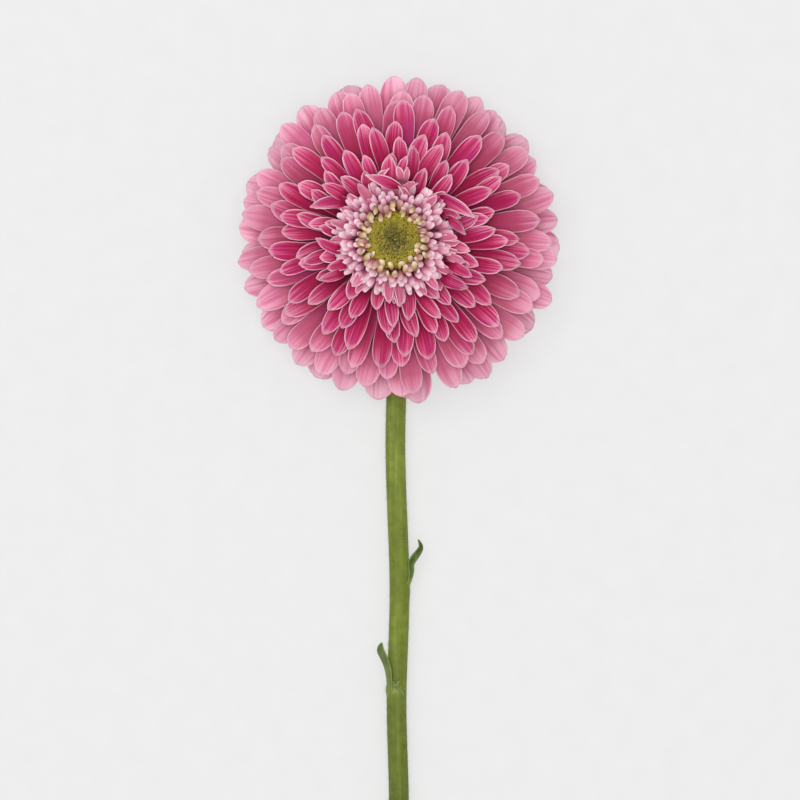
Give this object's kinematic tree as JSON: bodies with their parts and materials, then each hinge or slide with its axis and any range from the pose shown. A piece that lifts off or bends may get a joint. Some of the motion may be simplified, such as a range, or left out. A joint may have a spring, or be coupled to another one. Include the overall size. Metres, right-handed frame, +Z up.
{
  "type": "cut gerbera",
  "caption": "Cut double gerbera lying on its back: layered ray florets round a green disc, on a leafless stem with small bracts.",
  "frame": {"origin": "on the surface that the flower lies on, under the middle of its footprint", "axes": "+Y along the lying stem from its cut end to the head, +Z up, out of the face of the head"},
  "size_m": [0.1102, 0.4036, 0.0364],
  "materials": {
    "ray_floret": "velvety petal, crimson at the foot, pink at the tip",
    "short_floret": "soft pale pink petal",
    "open_disc_floret": "soft cream petal",
    "disc_bud": "granular, olive to yellow-green",
    "involucre": "matt green plant tissue",
    "scape": "satin olive green skin with fine hairs",
    "scape_bract": "matt dark green leaf with a pale edge"
  },
  "bodies": {
    "root": {"ray_florets": "ray_floret", "short_florets": "short_floret", "open_disc_florets": "open_disc_floret", "disc_buds": "disc_bud", "involucre": "involucre", "scape": "scape", "right_scape_bract": "scape_bract", "left_scape_bract": "scape_bract"}
  },
  "joints": []
}
